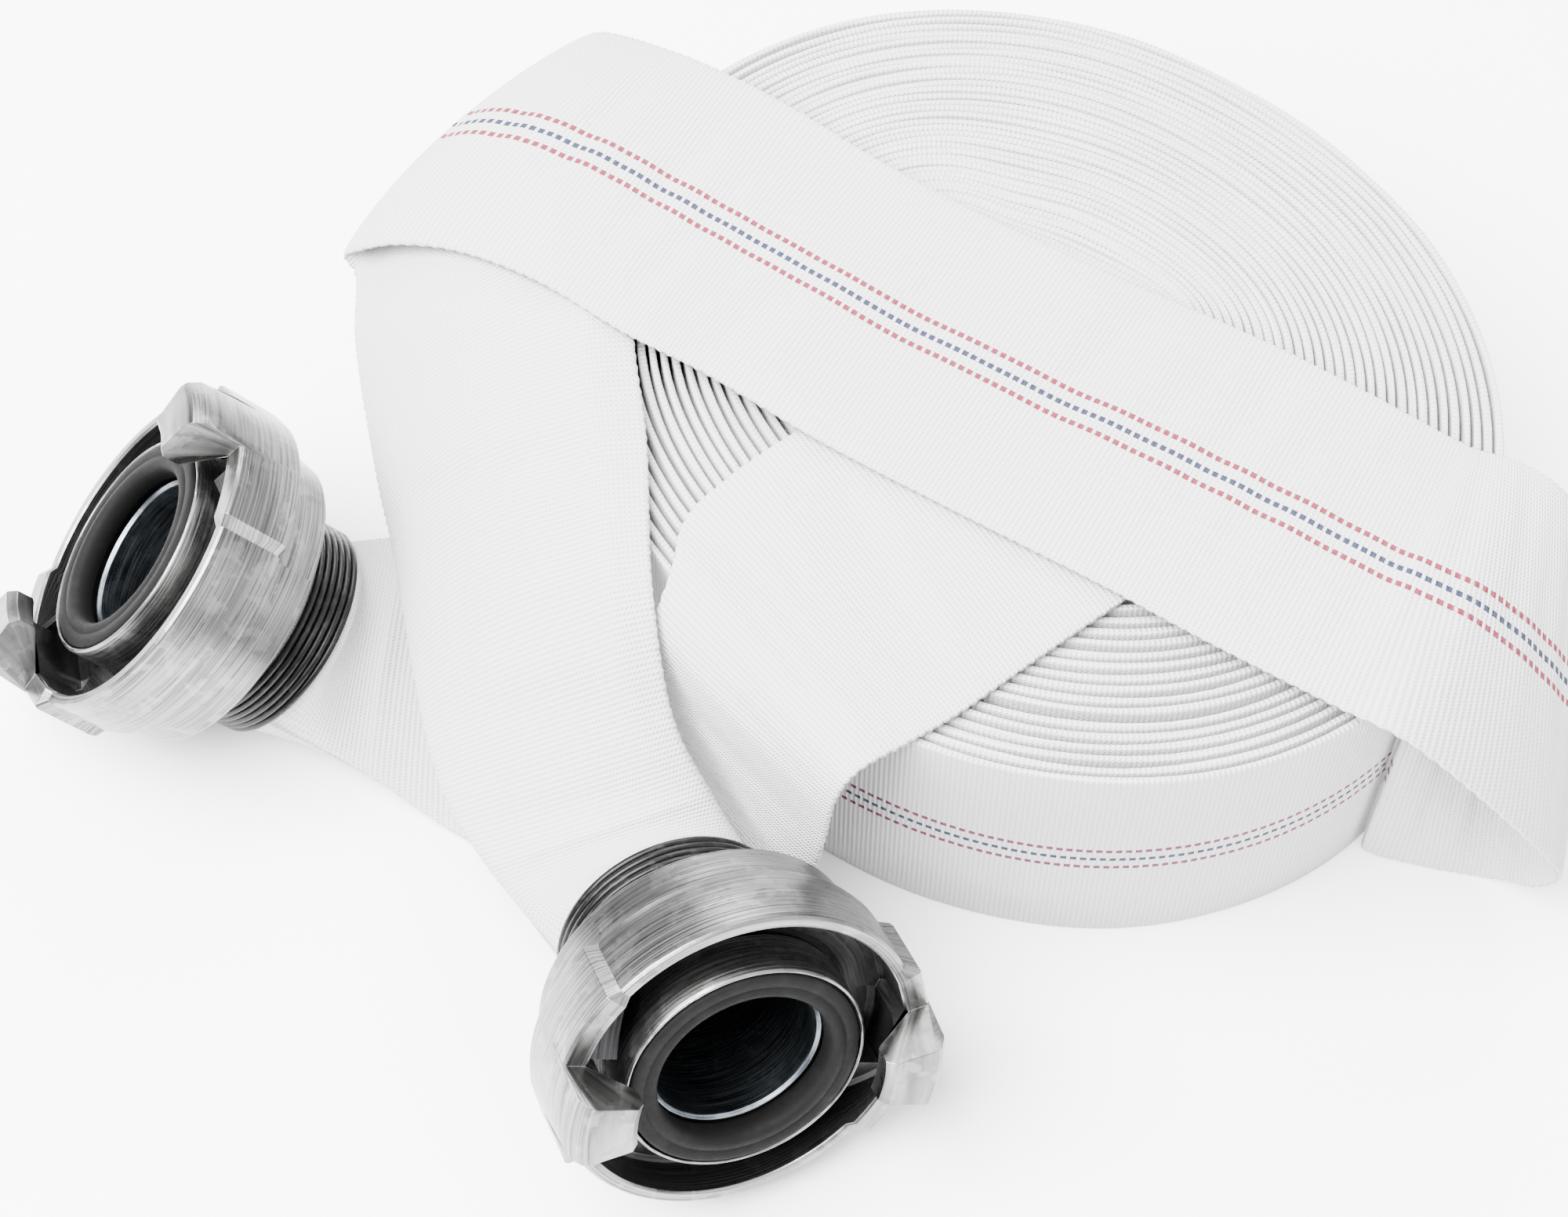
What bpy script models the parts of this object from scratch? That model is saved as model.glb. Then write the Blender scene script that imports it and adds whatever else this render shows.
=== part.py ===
"""Rolled fire hose: a flat woven hose standing on its edge in a double roll, with its two free ends laid over
the roll and a claw coupling on each end. Metres, +Z up, the floor at z = 0, the roll's centre at the origin."""

import math

import bpy
import numpy as np
from mathutils import Matrix, Vector

MM = 0.001

# Hose
HOSE_WIDTH = 85 * MM  # lay-flat width, which is also the height of the roll
FLAT_THICKNESS = 2.6 * MM
LINER_THICKNESS = 0.6 * MM
HOSE_WALL = 2.8 * MM  # of the hose pushed onto a coupling, with its liner

# Roll: an oval, wider along ROLL_TURN
ROLL_RADIUS = 121.5 * MM
ROLL_OVAL = 0.075
ROLL_TURN = math.radians(-43)
LOOSE_PAIR = 5.2 * MM  # the outermost doubled turn, which stands a little off the rest
LOOSE_GAP = 0.8 * MM
ROLL_CHAMFER = 0.9 * MM
CORE_LENGTH = 66 * MM  # the folded middle of the hose
CORE_WIDTH = 13 * MM
CORE_TURN = math.radians(153)
CORE_CENTRE = (6 * MM, 38 * MM)
GAP = 0.3 * MM

# Coupling, radii and distances behind the face
TAIL_RADIUS = 25.4 * MM
TAIL_WALL = 3.9 * MM
BORE_RADIUS = TAIL_RADIUS - TAIL_WALL
ROUND_RADIUS = TAIL_RADIUS + HOSE_WALL  # outside of the hose on the tail
TAIL_END = 55 * MM
JOURNAL_RADIUS = TAIL_RADIUS + 0.4 * MM
FLANGE_STEP = 5.7 * MM
FLANGE_RADIUS = JOURNAL_RADIUS + FLANGE_STEP
FLANGE_DEPTH = 14 * MM
RIM = 1.3 * MM  # the thin bright edge of the flange round the seal
RING_RADIUS = 46 * MM
RING_FRONT = 2.2 * MM
RING_STEP = 21 * MM
RING_BACK = 34.2 * MM
HUB_RADIUS = RING_RADIUS - 3.4 * MM
RING_WALL = 3.5 * MM
MOUTH_RADIUS = RING_RADIUS - RING_WALL
BOSS_HEIGHT = 3 * MM
CLAW_RADIUS = RING_RADIUS + BOSS_HEIGHT
CLAW_REACH = 13.5 * MM
HOOK_RADIUS = FLANGE_RADIUS + 0.5 * MM  # the inner end of a claw
CLAW_SPAN = math.radians(23)
BOSS_BEFORE = math.radians(38)  # the root of a claw starts this far before the claw's middle
BOSS_AFTER = math.radians(27)
PLAIN, BOSS, CLAW = range(3)  # the kinds of cut through the claw ring
LOCK_RING_RADIUS = JOURNAL_RADIUS + 0.1 * MM
LOCK_WIRE_RADIUS = 1.5 * MM
LOCK_RING_PLACE = 36.2 * MM
BINDING_START = 39 * MM
BINDING_WIRE = 2.2 * MM
BINDING_TURNS = 6
CUFF_START = 38.6 * MM
SEGMENTS = 36

# Place of each coupling: centre of the face, azimuth and elevation of the way it faces, turn of its claws
FRONT_COUPLING = ((-75, -183, 52.6), math.radians(-66.8), math.radians(20.8), math.radians(343))
LEFT_COUPLING = ((-239, -38, 59), math.radians(171.8), math.radians(43.6), math.radians(300))

# Routes of the free ends. Each row is a cut across the hose: one edge, the other edge, how open the hose is
# (0 flat, 1 round) and how far its middle is arched, all in millimetres for a roll of the nominal size.
FRONT_ROUTE = (
    ((89.5, -98.5, 1.5), (92, -96.5, 83.5), 0, 0),
    ((95, -101, 1.5), (98, -92, 82.5), 0, 0),
    ((108, -104.5, 1.5), (109, -80, 78), 0, 0),
    ((120, -107, 1.5), (121, -66, 75), 0, 0),
    ((126, -111, 7), (130, -54, 71), 0, 0),
    ((130, -118, 18), (135, -46, 73), 0, 0),
    ((133.5, -122, 31), (139, -46, 83), 0, 0),
    ((127, -123, 46), (131, -41, 92), 0, -1),
    ((106, -119, 72), (121, -34, 93), 0, -3),
    ((86, -112, 88.5), (112, -30, 92), 0, -1.5),
    ((68, -103, 91), (106, -26, 91), 0, 0),
    ((38, -85, 91), (81, -9, 91), 0, 0),
    ((13, -69, 91), (55, 7, 91), 0, 0),
    ((-22, -48, 91), (22, 25, 91), 0, 0),
    ((-56, -27, 91), (-14, 46, 91), 0, 0),
    ((-86, -6, 91), (-40, 63, 91.5), 0, 0),
    ((-108, 7, 91.5), (-66, 82, 92.5), 0, 0),
    ((-130, 23, 91), (-87, 94, 94), 0, -1),
    ((-152, 38, 84), (-102, 101, 94), 0, -4),
    ((-171, 48, 74), (-110, 104, 94), 0, -6),
    ((-184, 53, 64), (-116, 106, 93), 0, -6),
    ((-187.5, 54, 59.5), (-118.5, 107, 89.5), 0, -5),
    ((-184.5, 50, 55), (-115, 101, 86.2), 0, 4),
    ((-183.5, 29, 51), (-110, 62, 86.8), 0, 11),
    ((-176, -9, 45), (-105, 6, 88), 0, 14),
    ((-170.5, -31, 41), (-101, -26, 89.5), 0, 13.5),
    ((-163, -68, 37), (-99, -66, 85.5), 0.02, 9),
    ((-155, -97, 34), (-94, -93, 67), 0.1, 4),
    ((-142, -119, 32), (-84, -108, 52), 0.35, 0),
)
LEFT_ROUTE = (
    ((43, -54, 87), (-3, 18, 87), 0, 0),
    ((0, -86, 87), (-48, -11, 87), 0, 0),
    ((-22, -103, 87), (-72, -28, 87), 0, 0),
    ((-36, -112, 87), (-90, -46, 87), 0, 0),
    ((-47, -119, 87), (-94, -62, 86.8), 0, 0),
    ((-53, -123, 79), (-99, -72, 76), 0, 0),
    ((-56, -125, 58), (-103, -74, 54), 0, 0),
    ((-61, -126, 28), (-111, -68, 38), 0, 0),
    ((-74, -128, 8), (-123, -59, 31), 0, 0),
    ((-98, -124, 2.5), (-128, -50, 27), 0, 0),
    ((-126, -110, 2.5), (-139, -34, 30), 0, 0),
    ((-154, -95, 2.5), (-153, -24, 35), 0, 0),
    ((-177, -81, 8), (-168, -20, 33), 0.25, 0),
)
STEPS = 2
LOOP_POINTS = 16

COLOURS = {
    "fabric": ((0.86, 0.85, 0.86), 0.0, 0.85),
    "rubber": ((0.03, 0.03, 0.03), 0.0, 0.6),
    "aluminium": ((0.62, 0.61, 0.60), 1.0, 0.35),
    "brushed_steel": ((0.55, 0.55, 0.56), 1.0, 0.3),
    "painted_metal": ((0.02, 0.02, 0.02), 0.6, 0.4),
}


def clear_scene():
    for obj in list(bpy.data.objects):
        bpy.data.objects.remove(obj, do_unlink=True)


def material(node_name, kind):
    colour, metallic, roughness = COLOURS[kind]
    made = bpy.data.materials.new(node_name + "_" + kind)
    made.use_nodes = True
    shader = made.node_tree.nodes["Principled BSDF"]
    shader.inputs["Base Color"].default_value = (*colour, 1)
    shader.inputs["Metallic"].default_value = metallic
    shader.inputs["Roughness"].default_value = roughness
    return made


def add_object(name, kind, points, faces, place=None):
    mesh = bpy.data.meshes.new(name)
    mesh.from_pydata([tuple(p) for p in points], [], faces)
    mesh.validate()
    mesh.materials.append(material(name, kind))
    obj = bpy.data.objects.new(name, mesh)
    bpy.context.collection.objects.link(obj)
    if place is not None:
        obj.matrix_world = place
    return obj


def skin(loops, closed_way=False):
    """Quads over a stack of loops, with a flat face at each end unless the stack closes on itself."""
    count = len(loops[0])
    points = [p for loop in loops for p in loop]
    rows = len(loops) if closed_way else len(loops) - 1
    faces = []
    for row in range(rows):
        near, far = row * count, (row + 1) % len(loops) * count
        for k in range(count):
            after = (k + 1) % count
            faces.append((near + k, near + after, far + after, far + k))
    if not closed_way:
        faces.append(tuple(range(count - 1, -1, -1)))
        faces.append(tuple(len(points) - count + k for k in range(count)))
    return points, faces


def circle_points(count):
    angles = np.linspace(0, 2 * math.pi, count, endpoint=False)
    return list(zip(np.cos(angles), np.sin(angles)))


def revolve(profile, segments=SEGMENTS):
    """A closed (radius, height) profile, listed anticlockwise with radius to the right, turned about z."""
    loops = []
    for k in range(segments):
        angle = 2 * math.pi * k / segments
        loops.append([(r * math.cos(angle), r * math.sin(angle), z) for r, z in reversed(profile)])
    return skin(loops, closed_way=True)


def boolean(target, name, points, faces, operation):
    """Joins or cuts a helper solid, which stays out of renders."""
    helper = add_object(name, "aluminium", points, faces, target.matrix_world)
    helper.hide_render = True
    helper.display_type = "WIRE"
    modifier = target.modifiers.new(name, "BOOLEAN")
    modifier.operation = operation
    modifier.solver = "EXACT"
    modifier.object = helper


def roll_radius(angle, inset):
    return ROLL_RADIUS * (1 + ROLL_OVAL * math.cos(2 * (angle - ROLL_TURN))) - inset


def roll_loop(inset, height):
    loop = []
    for k in range(72):
        angle = 2 * math.pi * k / 72
        r = roll_radius(angle, inset)
        loop.append((r * math.cos(angle), r * math.sin(angle), height))
    return loop


def core_loop(grow, height):
    """A long rounded outline round the folded middle of the hose."""
    straight = CORE_LENGTH / 2 - CORE_WIDTH / 2
    radius = CORE_WIDTH / 2 + grow
    loop = []
    for k in range(24):
        angle = 2 * math.pi * (k + 0.5) / 24
        along = radius * math.cos(angle) + math.copysign(straight, math.cos(angle))
        across = radius * math.sin(angle)
        x = CORE_CENTRE[0] + along * math.cos(CORE_TURN) - across * math.sin(CORE_TURN)
        y = CORE_CENTRE[1] + along * math.sin(CORE_TURN) + across * math.cos(CORE_TURN)
        loop.append((x, y, height))
    return loop


def build_roll():
    top, low = HOSE_WIDTH, ROLL_CHAMFER
    inset = LOOSE_PAIR + LOOSE_GAP
    roll = add_object(
        "hose_roll",
        "fabric",
        *skin(
            [
                roll_loop(inset + low, 0),
                roll_loop(inset, low),
                roll_loop(inset, top - low),
                roll_loop(inset + low, top),
            ]
        ),
    )
    boolean(roll, "core_space", *skin([core_loop(GAP, -low), core_loop(GAP, top + low)]), "DIFFERENCE")
    add_object("hose_middle_fold", "fabric", *skin([core_loop(0, 0), core_loop(0, top)]))
    outside = [roll_loop(low, 0), roll_loop(0, low), roll_loop(0, top - low), roll_loop(low, top)]
    inside = [roll_loop(LOOSE_PAIR, top), roll_loop(LOOSE_PAIR, 0)]
    add_object("hose_loose_turn", "fabric", *skin(outside + inside, closed_way=True))


def placed(point):
    """A route point in metres, following the roll's radius and the hose's width."""
    across = ROLL_RADIUS / 0.1215
    up = HOSE_WIDTH / 0.085
    return np.array([point[0] * MM * across, point[1] * MM * across, point[2] * MM * up])


def coupling_frame(coupling):
    """The coupling's matrix: its face at z = 0 looking along +z, x level."""
    centre, azimuth, elevation, _ = coupling
    level = math.cos(elevation)
    out = Vector((level * math.cos(azimuth), level * math.sin(azimuth), math.sin(elevation)))
    side = out.cross(Vector((0, 0, 1))).normalized()
    frame = Matrix((side, out.cross(side), out)).transposed().to_4x4()
    frame.translation = Vector(placed(centre))
    return frame


def cuts_of(route):
    """Rows of centre, half-width vector, openness and arch."""
    rows = []
    for first, second, opening, arch in route:
        first, second = placed(first), placed(second)
        rows.append([*((first + second) / 2), *((second - first) / 2), opening, arch * HOSE_WIDTH / 85])
    return rows


def smooth(rows, steps):
    """Catmull-Rom through the rows."""
    padded = np.vstack([2 * rows[0] - rows[1], rows, 2 * rows[-1] - rows[-2]])
    made = []
    for k in range(1, len(padded) - 2):
        a, b, c, d = padded[k - 1 : k + 3]
        for step in range(steps):
            t = step / steps
            made.append(
                0.5 * (2 * b + (c - a) * t + (2 * a - 5 * b + 4 * c - d) * t**2 + (3 * b - a - 3 * c + d) * t**3)
            )
    made.append(rows[-1])
    return np.array(made)


def hose_loop(cut, up):
    """The outline of the hose at one cut: a flat oval that opens into a circle."""
    centre, half, arch = cut[:3], cut[3:6], cut[7]
    opening = min(max(cut[6], 0), 1)
    loop = []
    for k in range(LOOP_POINTS):
        angle = 2 * math.pi * k / LOOP_POINTS
        u, side = math.cos(angle), math.sin(angle)
        flat = FLAT_THICKNESS / 2 * (1 - abs(u) ** 10) * (1 - opening) * np.sign(round(side, 9))
        lift = flat + ROUND_RADIUS * opening * side + arch * (1 - u * u)
        loop.append(centre + half * u + up * lift)
    return loop


def build_free_end(name, route, coupling, sign):
    """The hose from the roll to its coupling, straight over the tail and hollow there."""
    frame = np.array(coupling_frame(coupling))
    side, up, out, face = frame[:3, :4].T
    outside = side * ROUND_RADIUS * sign
    inside = side * (TAIL_RADIUS + LINER_THICKNESS + 2 * GAP) / math.cos(math.pi / LOOP_POINTS) * sign
    tail_end = face - out * (TAIL_END + 1 * MM)
    cuts = smooth(np.array([*cuts_of(route), [*tail_end, *outside, 1, 0]]), STEPS)
    normals = np.cross(np.gradient(cuts[:, :3], axis=0), cuts[:, 3:6])
    normals /= np.linalg.norm(normals, axis=1)[:, None]
    for k in range(1, STEPS):
        share = k / STEPS
        mixed = normals[-STEPS - 1] * (1 - share) + up * sign * share
        normals[k - STEPS - 1] = mixed / np.linalg.norm(mixed)
        cuts[k - STEPS - 1, 6] -= 0.6 * share * (1 - share)
    loops = [hose_loop(cut, normal) for cut, normal in zip(cuts[:-1], normals)]
    cuff = [(TAIL_END + 1 * MM, outside), (CUFF_START, outside), (CUFF_START, inside), (TAIL_END + GAP, inside)]
    for behind, half in cuff:
        place = face - out * behind
        loops.append([place + half * u + up * np.linalg.norm(half) * sign * v for u, v in circle_points(LOOP_POINTS)])
    add_object(name, "fabric", *skin(loops))


def sleeve_profile():
    groove = LOCK_RING_RADIUS - LOCK_WIRE_RADIUS - 0.4 * MM
    lock_front = LOCK_RING_PLACE - LOCK_WIRE_RADIUS - GAP
    lock_back = LOCK_RING_PLACE + LOCK_WIRE_RADIUS + GAP
    return [
        (BORE_RADIUS, -TAIL_END),
        (TAIL_RADIUS - 1 * MM, -TAIL_END),
        (TAIL_RADIUS, -TAIL_END + 1.5 * MM),
        (TAIL_RADIUS, -TAIL_END + 6 * MM),
        (TAIL_RADIUS - 0.7 * MM, -TAIL_END + 6.5 * MM),
        (TAIL_RADIUS - 0.7 * MM, -TAIL_END + 8.5 * MM),
        (TAIL_RADIUS, -TAIL_END + 9 * MM),
        (TAIL_RADIUS, -lock_back),
        (groove, -lock_back),
        (groove, -lock_front),
        (JOURNAL_RADIUS, -lock_front),
        (JOURNAL_RADIUS, -FLANGE_DEPTH),
        (FLANGE_RADIUS - 0.6 * MM, -FLANGE_DEPTH),
        (FLANGE_RADIUS, -FLANGE_DEPTH + 0.6 * MM),
        (FLANGE_RADIUS, -0.6 * MM),
        (FLANGE_RADIUS - 0.6 * MM, 0),
        (FLANGE_RADIUS - RIM, -0.6 * MM),
        (FLANGE_RADIUS - RIM, -9 * MM),
        (BORE_RADIUS + 2.1 * MM, -9 * MM),
        (BORE_RADIUS + 1.7 * MM, -7.2 * MM),
        (BORE_RADIUS + 0.9 * MM, -6.8 * MM),
        (BORE_RADIUS, -7.8 * MM),
    ]


def ring_profile(kind, ramp):
    """A cut through the claw ring: PLAIN, BOSS where it is thicker at the root of a claw, or CLAW.

    Inside a boss, a ledge stands over the floor of the recess by the share ramp of its full height."""
    bore, floor = JOURNAL_RADIUS + GAP, FLANGE_DEPTH + 0.5 * MM
    outer = RING_RADIUS if kind == PLAIN else CLAW_RADIUS
    front = -RING_FRONT if kind == PLAIN else -RING_FRONT + 1.5 * MM
    ledge = FLANGE_RADIUS + 1.6 * MM
    back = [
        (bore, -RING_BACK),
        (HUB_RADIUS - 1.6 * MM, -RING_BACK),
        (HUB_RADIUS - 0.7 * MM, -RING_BACK + 0.9 * MM),
        (HUB_RADIUS, -RING_STEP - 1.4 * MM),
        (RING_RADIUS - 0.8 * MM, -RING_STEP),
        (outer - 0.5 * MM, -RING_STEP + 1 * MM),
        (outer, -RING_STEP + 2.5 * MM),
    ]
    if kind == CLAW:
        under = CLAW_REACH - 8 * MM
        wall = MOUTH_RADIUS - 3 * MM
        return back + [
            (CLAW_RADIUS, -1 * MM),
            (CLAW_RADIUS - 0.6 * MM, CLAW_REACH - 4 * MM),
            (CLAW_RADIUS - 2.6 * MM, CLAW_REACH - 0.8 * MM),
            (CLAW_RADIUS - 4.4 * MM, CLAW_REACH),
            (HOOK_RADIUS + 2 * MM, CLAW_REACH),
            (HOOK_RADIUS, CLAW_REACH - 2 * MM),
            (HOOK_RADIUS, under + 1.3 * MM),
            (HOOK_RADIUS + 1.3 * MM, under),
            (wall - 1.8 * MM, under),
            (wall, under - 1.8 * MM),
            (wall, -floor + 1.5 * MM),
            (wall - 1.5 * MM, -floor),
            (ledge, -floor),
            (bore, -floor),
        ]
    shelf = -floor + 0.4 * MM + ramp * (floor - RING_FRONT - 1.4 * MM)
    return back + [
        (outer, front - 7 * MM),
        (outer, front - 4 * MM),
        (outer, front - 0.8 * MM),
        (outer - 0.7 * MM, front),
        (MOUTH_RADIUS + 2.1 * MM, front),
        (MOUTH_RADIUS + 1.6 * MM, front),
        (MOUTH_RADIUS + 1.1 * MM, front),
        (MOUTH_RADIUS + 0.6 * MM, front),
        (MOUTH_RADIUS, front - 0.6 * MM),
        (MOUTH_RADIUS, shelf + 1.2 * MM),
        (MOUTH_RADIUS - 1.2 * MM, shelf),
        (ledge + 0.8 * MM, shelf),
        (ledge, -floor),
        (bore, -floor),
    ]


def build_claw_ring(name, frame, turn):
    """The ring and both of its claws in one skin, cut by cut round the axis."""
    before, after, half, wall = BOSS_BEFORE, BOSS_AFTER, CLAW_SPAN / 2, math.radians(1.5)
    cuts = []
    for middle in (turn, turn + math.pi):
        rise = before - half - wall
        cuts += [(middle - before - 2 * wall, PLAIN, 0), (middle - before, BOSS, 0)]
        cuts += [(middle - before + rise * k / 4, BOSS, k / 4) for k in range(1, 5)]
        cuts += [(middle + half * (k / 2 - 1), CLAW, 0) for k in range(5)]
        cuts += [(middle + half + wall, BOSS, 0), (middle + after, BOSS, 0)]
        gap = math.pi - before - after - 4 * wall
        cuts += [(middle + after + 2 * wall + gap * k / 12, PLAIN, 0) for k in range(12)]
    loops = []
    for angle, kind, ramp in cuts:
        profile = reversed(ring_profile(kind, ramp))
        loops.append([(r * math.cos(angle), r * math.sin(angle), z) for r, z in profile])
    add_object(name, "aluminium", *skin(loops, closed_way=True), frame)


def seal_profile():
    inner, outer = BORE_RADIUS + 2.5 * MM, FLANGE_RADIUS - RIM - GAP
    return [
        (inner, -8.6 * MM),
        (outer, -8.6 * MM),
        (outer, -0.6 * MM),
        (outer - 0.8 * MM, 0.4 * MM),
        (inner + 0.4 * MM, 0.6 * MM),
        (inner - 0.9 * MM, -0.2 * MM),
        (inner - 1.5 * MM, -1.4 * MM),
        (inner - 1.5 * MM, -5.4 * MM),
        (inner, -6.2 * MM),
    ]


def liner_profile():
    inner = TAIL_RADIUS + GAP
    outer = inner + LINER_THICKNESS
    return [(inner, -TAIL_END), (outer, -TAIL_END), (outer, -CUFF_START), (inner, -CUFF_START)]


def circle_profile(radius, height, wire, count):
    return [
        (radius + wire * math.cos(2 * math.pi * k / count), height + wire * math.sin(2 * math.pi * k / count))
        for k in range(count)
    ]


def binding_profile():
    """Turns of wire side by side, as one ridged sleeve."""
    inner = ROUND_RADIUS + GAP
    profile = [(inner, -BINDING_START - BINDING_TURNS * BINDING_WIRE)]
    for turn in range(BINDING_TURNS, 0, -1):
        back = -BINDING_START - turn * BINDING_WIRE
        profile += [(inner + 1.5 * MM, back + 0.05 * MM), (inner + 2.6 * MM, back + BINDING_WIRE / 2)]
    return profile + [(inner + 1.5 * MM, -BINDING_START), (inner, -BINDING_START)]


def build_coupling(side, coupling):
    frame = coupling_frame(coupling)
    add_object(side + "_coupling_sleeve", "aluminium", *revolve(sleeve_profile()), frame)
    build_claw_ring(side + "_claw_ring", frame, coupling[3])
    add_object(side + "_face_seal", "rubber", *revolve(seal_profile()), frame)
    add_object(side + "_hose_liner", "rubber", *revolve(liner_profile()), frame)
    lock = circle_profile(LOCK_RING_RADIUS, -LOCK_RING_PLACE, LOCK_WIRE_RADIUS, 8)
    add_object(side + "_lock_ring", "brushed_steel", *revolve(lock), frame)
    add_object(side + "_wire_binding", "painted_metal", *revolve(binding_profile()), frame)


clear_scene()
build_roll()
build_free_end("hose_end_front", FRONT_ROUTE, FRONT_COUPLING, -1)
build_free_end("hose_end_left", LEFT_ROUTE, LEFT_COUPLING, 1)
build_coupling("front", FRONT_COUPLING)
build_coupling("left", LEFT_COUPLING)
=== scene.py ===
"""Looks of the rolled fire hose: woven hose with its stripes, and two aluminium claw couplings."""

import math

import bpy
import numpy as np
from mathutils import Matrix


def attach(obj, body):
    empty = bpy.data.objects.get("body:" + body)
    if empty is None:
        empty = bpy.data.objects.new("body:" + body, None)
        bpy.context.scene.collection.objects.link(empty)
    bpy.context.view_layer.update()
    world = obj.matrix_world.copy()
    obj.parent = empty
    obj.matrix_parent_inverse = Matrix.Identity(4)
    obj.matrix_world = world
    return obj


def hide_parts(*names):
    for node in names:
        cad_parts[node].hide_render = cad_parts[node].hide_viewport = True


MM = 0.001
HOSE_WIDTH = 85 * MM
FLAT_THICKNESS = 2.6 * MM
ROUND_RADIUS = 28.2 * MM

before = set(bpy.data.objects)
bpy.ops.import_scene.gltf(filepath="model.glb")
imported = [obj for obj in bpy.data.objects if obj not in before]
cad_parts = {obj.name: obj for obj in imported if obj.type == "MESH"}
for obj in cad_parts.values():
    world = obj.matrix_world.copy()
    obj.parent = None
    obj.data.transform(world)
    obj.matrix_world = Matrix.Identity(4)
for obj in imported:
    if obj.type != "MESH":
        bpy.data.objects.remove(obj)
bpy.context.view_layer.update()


# ---------------------------------------------------------------- node maths
class Flow:
    """A socket that can be used in sums."""

    def __init__(self, tree, socket):
        self.tree = tree
        self.socket = socket

    def node(self, kind, settings=(), inputs=(), output=0):
        """A node of this kind: its settings first, then the values or links of its sockets."""
        made = self.tree.nodes.new(kind)
        for name, value in dict(settings).items():
            setattr(made, name, value)
        for name, value in dict(inputs).items():
            if isinstance(value, Flow):
                self.tree.links.new(value.socket, made.inputs[name])
            else:
                made.inputs[name].default_value = value
        return Flow(self.tree, made.outputs[output])

    def maths(self, operation, *values):
        return self.node("ShaderNodeMath", {"operation": operation}, dict(enumerate(values)))

    def size(self):
        return self.maths("ABSOLUTE", self)

    def __add__(self, other):
        return self.maths("ADD", self, other)

    def __mul__(self, other):
        return self.maths("MULTIPLY", self, other)

    def __sub__(self, other):
        return self.maths("SUBTRACT", self, other)

    def __rsub__(self, other):
        return self.maths("SUBTRACT", other, self)

    def __gt__(self, other):
        return self.maths("GREATER_THAN", self, other)

    def __lt__(self, other):
        return self.maths("LESS_THAN", self, other)

    __radd__ = __add__
    __rmul__ = __mul__

    def wave(self, pitch):
        """A sine of this pitch, from -1 to 1."""
        return self.maths("SINE", self * (2 * math.pi / pitch))

    def ease(self, low, high):
        """0 below low, 1 above high, smooth between."""
        settings = {"interpolation_type": "SMOOTHSTEP"}
        inputs = {"Value": self, "From Min": low, "From Max": high}
        return self.node("ShaderNodeMapRange", settings, inputs)

    def blend(self, first, second):
        """From colour first, where this is 0, to colour second, where it is 1."""
        made = self.tree.nodes.new("ShaderNodeMix")
        made.data_type = "RGBA"
        self.tree.links.new(self.socket, made.inputs[0])
        for index, value in ((6, first), (7, second)):
            if isinstance(value, Flow):
                self.tree.links.new(value.socket, made.inputs[index])
            else:
                made.inputs[index].default_value = (*value, 1)
        return Flow(self.tree, made.outputs[2])


class Finish:
    """A material with one Principled shader, and the flows that its surface is worked out from."""

    def __init__(self, name, **constants):
        self.material = bpy.data.materials.new(name)
        self.material.use_nodes = True
        self.tree = self.material.node_tree
        self.shader = self.tree.nodes["Principled BSDF"]
        for key, value in constants.items():
            self.shader.inputs[key.replace("_", " ")].default_value = value
        self.start = Flow(self.tree, None)
        self.place = self.start.node("ShaderNodeTexCoord", output="Object")

    def set(self, **flows):
        for key, flow in flows.items():
            self.tree.links.new(flow.socket, self.shader.inputs[key.replace("_", " ")])
        return self.material

    def noise(self, scale, detail=3, vector=None):
        inputs = {"Vector": vector or self.place, "Scale": scale, "Detail": detail}
        return self.start.node("ShaderNodeTexNoise", (), inputs)

    def split(self, vector):
        parts = self.start.node("ShaderNodeSeparateXYZ", (), {"Vector": vector}).socket.node
        return [Flow(self.tree, parts.outputs[k]) for k in range(3)]

    def bump(self, height, strength, distance):
        inputs = {"Height": height, "Strength": strength, "Distance": distance}
        return self.start.node("ShaderNodeBump", (), inputs)


# ---------------------------------------------------------------- finishes
STRIPE_OFFSET = 4.5 * MM
STRIPE_WIDTH = 1.6 * MM
DASH_PITCH = 2.5 * MM
DASH_FROM = -0.45  # the thread shows where a wave of the dash pitch is above this
WEFT_PITCH = 1.35 * MM
WARP_PITCH = 1.0 * MM


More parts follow.
